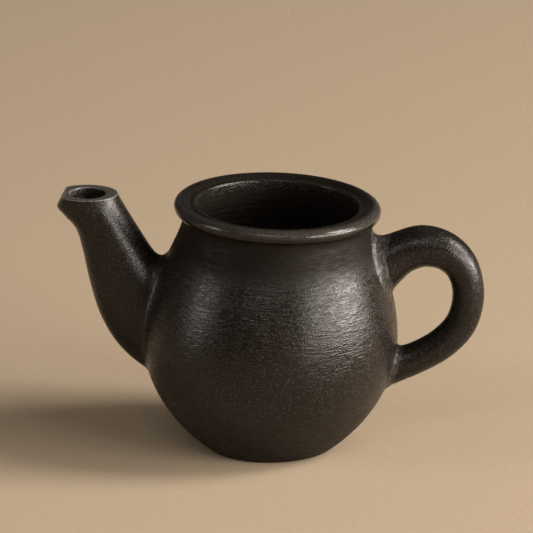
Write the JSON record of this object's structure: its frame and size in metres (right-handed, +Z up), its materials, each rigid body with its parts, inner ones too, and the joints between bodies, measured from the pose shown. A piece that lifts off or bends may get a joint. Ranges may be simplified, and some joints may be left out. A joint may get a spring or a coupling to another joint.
{
  "type": "teapot",
  "caption": "Black burnished pottery teapot: round belly, rolled ring at the mouth, knife-cut spout with a pierced strainer behind it, and a pulled loop handle. It has no lid.",
  "frame": {"origin": "centre of the flat base, on the surface the teapot stands on", "axes": "+Z up along the axis of the thrown body, +X towards the handle, -X towards the spout, Y across"},
  "size_m": [0.207, 0.1236, 0.1254],
  "materials": {
    "black_clay": "smoke-blackened earthenware, burnished to a satin sheen with fine level throwing and burnishing lines",
    "joining_clay": "the same clay laid on wet at the joints and wiped to a soft hollow fillet, a little duller"
  },
  "bodies": {
    "root": {"body": "black_clay", "rim_ring": "black_clay", "spout": "black_clay", "handle": "black_clay", "spout_luting": "joining_clay", "handle_upper_luting": "joining_clay", "handle_lower_luting": "joining_clay"}
  },
  "joints": []
}
